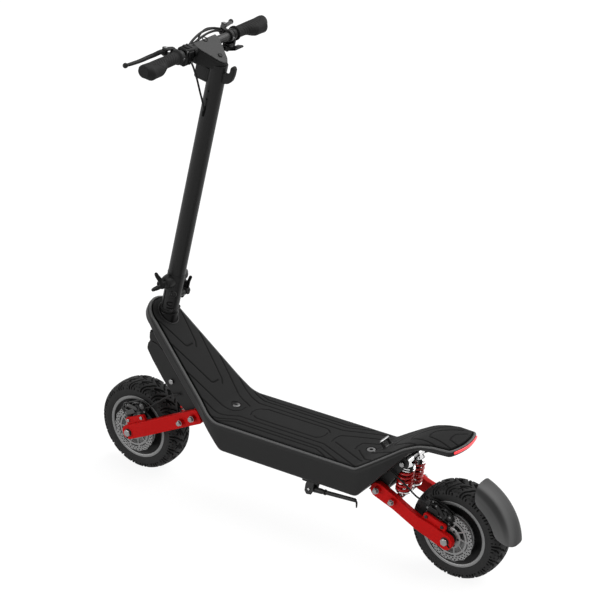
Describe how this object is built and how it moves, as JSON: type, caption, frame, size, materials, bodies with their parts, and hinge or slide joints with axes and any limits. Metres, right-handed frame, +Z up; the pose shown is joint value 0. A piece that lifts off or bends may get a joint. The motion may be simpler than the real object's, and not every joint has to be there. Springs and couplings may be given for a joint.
{
  "type": "electric kick scooter",
  "caption": "Folding electric kick scooter with a raised tail deck, a sloping neck, red swing arms with coil shocks at both wheels, disc brakes and a straight bar.",
  "frame": {"origin": "middle of the bottom of the whole object's box, on the ground", "axes": "+X forward, +Y to the rider's left, +Z up"},
  "size_m": [1.287, 0.485, 1.258],
  "materials": {
    "bar_alloy": "satin",
    "black_paint": "satin",
    "black_plastic": "satin",
    "bolt_steel": "satin",
    "cable_black": "matte",
    "cell_blue": "matte",
    "chrome": "polished",
    "copper": "satin",
    "disc_steel": "brushed",
    "grey_paint": "satin",
    "light_red": "gloss",
    "mat_rubber": "matte",
    "panel_grey": "satin",
    "red_paint": "gloss",
    "rim_alloy": "machined",
    "spring_red": "gloss",
    "tyre_rubber": "matte"
  },
  "bodies": {
    "deck": {"deck_shell": "black_paint", "deck_lid": "rim_alloy", "deck_mat": "mat_rubber", "deck_fasteners": "bolt_steel", "battery_pack": "cell_blue", "controller": "rim_alloy", "charge_port": "black_plastic", "headset_bearings": "bolt_steel", "rear_bracket": "black_paint", "tail_light": "light_red", "fold_catch": "black_paint", "kickstand_bracket": "black_paint"},
    "kickstand": {"kickstand": "black_paint"},
    "steer": {"fork": "black_paint", "fork_bolts": "bolt_steel", "hinge_base": "black_paint"},
    "stem": {"stem_tube": "black_paint", "hinge_head": "black_paint", "stem_head": "black_plastic", "head_panel": "panel_grey", "headlight": "black_plastic", "carry_hook": "black_plastic", "handlebar": "bar_alloy", "grips": "tyre_rubber", "brake_perches": "black_paint", "switch_box": "black_plastic", "throttle_body": "black_plastic", "bar_cables": "cable_black"},
    "fold_lever": {"fold_lever": "black_paint"},
    "lock_lever": {"lock_lever": "black_paint"},
    "brake_left": {"brake_lever_left": "black_paint"},
    "brake_right": {"brake_lever_right": "black_paint"},
    "throttle": {"throttle_paddle": "black_plastic"},
    "power": {"power_button": "black_plastic"},
    "horn": {"horn_button": "light_red"},
    "front_arm": {"front_arm_left": "red_paint", "front_arm_right": "red_paint", "front_bolts": "bolt_steel", "front_caliper": "grey_paint", "front_cable": "cable_black"},
    "front_wheel": {"front_tyre": "tyre_rubber", "front_rim": "rim_alloy", "front_disc": "disc_steel", "front_bearings": "bolt_steel"},
    "front_shock": {"front_shock_bodies": "chrome", "front_springs": "spring_red"},
    "front_rod": {"front_shock_rods": "bolt_steel"},
    "rear_arm": {"rear_arm_left": "red_paint", "rear_arm_right": "red_paint", "rear_bolts": "bolt_steel", "motor_stator": "copper", "rear_caliper": "grey_paint", "fender": "grey_paint", "rear_cable": "cable_black"},
    "rear_wheel": {"rear_tyre": "tyre_rubber", "rear_rim": "rim_alloy", "rear_disc": "disc_steel"},
    "rear_shock": {"rear_shock_bodies": "chrome", "rear_springs": "spring_red"},
    "rear_rod": {"rear_shock_rods": "bolt_steel"}
  },
  "joints": [
    {"name": "steering", "type": "hinge", "parent": "deck", "child": "steer", "pos_m": [0.44342, 0, 0.41859], "axis": [-0.2419, 0, 0.9703], "range_deg": [-40, 40]},
    {"name": "fold", "type": "hinge", "parent": "steer", "child": "stem", "pos_m": [0.40714, 0, 0.49385], "axis": [0, -1, 0], "range_deg": [0, 87]},
    {"name": "fold_lever", "type": "hinge", "parent": "stem", "child": "fold_lever", "pos_m": [0.40909, 0.05, 0.58111], "axis": [0, 1, 0], "range_deg": [0, 90]},
    {"name": "lock_lever", "type": "hinge", "parent": "stem", "child": "lock_lever", "pos_m": [0.40566, -0.048, 0.52872], "axis": [0, -1, 0], "range_deg": [0, 60]},
    {"name": "brake_lever_left", "type": "hinge", "parent": "stem", "child": "brake_left", "pos_m": [0.32486, 0.119, 1.24134], "axis": [-0.2419, 0, 0.9703], "range_deg": [0, 20], "stiffness_Nm_per_rad": 0.6, "springref_deg": -11.46},
    {"name": "brake_lever_right", "type": "hinge", "parent": "stem", "child": "brake_right", "pos_m": [0.32486, -0.119, 1.24134], "axis": [0.2419, 0, -0.9703], "range_deg": [0, 20], "stiffness_Nm_per_rad": 0.6, "springref_deg": -11.46},
    {"name": "throttle", "type": "hinge", "parent": "stem", "child": "throttle", "pos_m": [0.2967, -0.09, 1.20547], "axis": [0, -1, 0], "range_deg": [0, 25], "stiffness_Nm_per_rad": 0.3, "springref_deg": -17.19},
    {"name": "power_button", "type": "slide", "parent": "stem", "child": "power", "axis": [0.5878, 0, -0.809], "range_m": [0, 0.0012], "stiffness_N_per_m": 800, "springref_m": -0.002},
    {"name": "horn_button", "type": "slide", "parent": "stem", "child": "horn", "axis": [0.9703, 0, 0.2419], "range_m": [0, 0.002], "stiffness_N_per_m": 600, "springref_m": -0.002},
    {"name": "front_arm", "type": "hinge", "parent": "steer", "child": "front_arm", "pos_m": [0.301, 0, 0.232], "axis": [0, -1, 0], "range_deg": [0, 14], "stiffness_Nm_per_rad": 160, "springref_deg": -28.65, "deforming": ["front_cable"]},
    {"name": "front_wheel", "type": "hinge", "parent": "front_arm", "child": "front_wheel", "pos_m": [0.516, 0, 0.1275], "axis": [0, 1, 0], "continuous": true},
    {"name": "front_shock", "type": "hinge", "parent": "steer", "child": "front_shock", "pos_m": [0.382, 0, 0.309], "axis": [0, -1, 0], "range_deg": [-0.5, 0.89]},
    {"name": "front_stroke", "type": "slide", "parent": "front_shock", "child": "front_rod", "axis": [0.3761, 0, 0.9266], "range_m": [-0.0005, 0.01185], "deforming": ["front_springs"]},
    {"name": "rear_arm", "type": "hinge", "parent": "deck", "child": "rear_arm", "pos_m": [-0.275, 0, 0.204], "axis": [0, 1, 0], "range_deg": [0, 14], "stiffness_Nm_per_rad": 160, "springref_deg": -28.65, "deforming": ["rear_cable"]},
    {"name": "rear_wheel", "type": "hinge", "parent": "rear_arm", "child": "rear_wheel", "pos_m": [-0.478, 0, 0.1275], "axis": [0, 1, 0], "continuous": true},
    {"name": "rear_shock", "type": "hinge", "parent": "deck", "child": "rear_shock", "pos_m": [-0.336, 0, 0.287], "axis": [0, 1, 0], "range_deg": [-0.5, 1.57]},
    {"name": "rear_stroke", "type": "slide", "parent": "rear_shock", "child": "rear_rod", "axis": [-0.155, 0, 0.9879], "range_m": [-0.0005, 0.01227], "deforming": ["rear_springs"]},
    {"name": "kickstand", "type": "hinge", "parent": "deck", "child": "kickstand", "pos_m": [-0.091, 0.09, 0.158], "axis": [0, -0.9659, -0.2588], "range_deg": [0, 90]}
  ],
  "couplings": [
    {"joint": "front_shock", "follows": "front_arm", "ratio": 0.02764},
    {"joint": "front_stroke", "follows": "front_arm", "m_per_rad": 0.046469},
    {"joint": "rear_shock", "follows": "rear_arm", "ratio": 0.07672},
    {"joint": "rear_stroke", "follows": "rear_arm", "m_per_rad": 0.048163}
  ]
}
